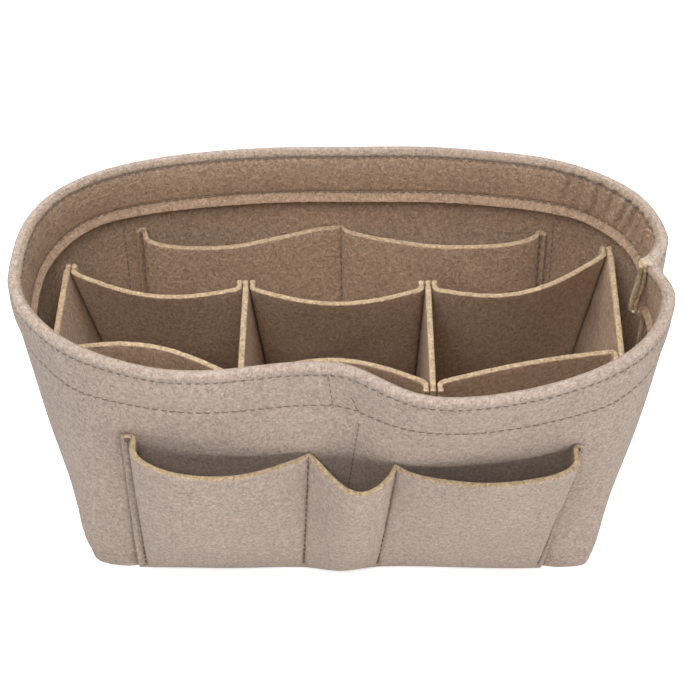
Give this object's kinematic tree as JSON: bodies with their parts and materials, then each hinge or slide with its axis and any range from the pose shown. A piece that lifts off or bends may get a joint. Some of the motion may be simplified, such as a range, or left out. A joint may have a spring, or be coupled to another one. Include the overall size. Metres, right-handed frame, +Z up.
{
  "type": "felt purse organizer insert",
  "caption": "Free-standing felt insert for a handbag: flared oval wall with a turned hem, sewn-on pockets inside and out, and a loose divider box with open compartments.",
  "frame": {"origin": "middle of the base's underside", "axes": "+X along the length to the right, -Y to the front with the scalloped pocket, +Z up"},
  "size_m": [0.2731, 0.1598, 0.146],
  "materials": {
    "felt": "matte needle felt"
  },
  "bodies": {
    "case": {"outer_wall": "felt", "base_panel": "felt", "front_outer_pocket": "felt", "back_outer_pocket": "felt", "front_inner_pocket": "felt", "back_inner_pocket": "felt"},
    "divider_box": {"divider_back_left": "felt", "divider_back_middle": "felt", "divider_back_right": "felt", "divider_front_left": "felt", "divider_front_middle": "felt", "divider_front_right": "felt", "divider_left_end": "felt", "divider_cross_left": "felt", "divider_cross_right": "felt", "divider_right_end": "felt"}
  },
  "joints": [
    {"name": "divider_lift", "type": "slide", "parent": "case", "child": "divider_box", "axis": [0, 0, 1], "range_m": [0, 0.15]}
  ]
}
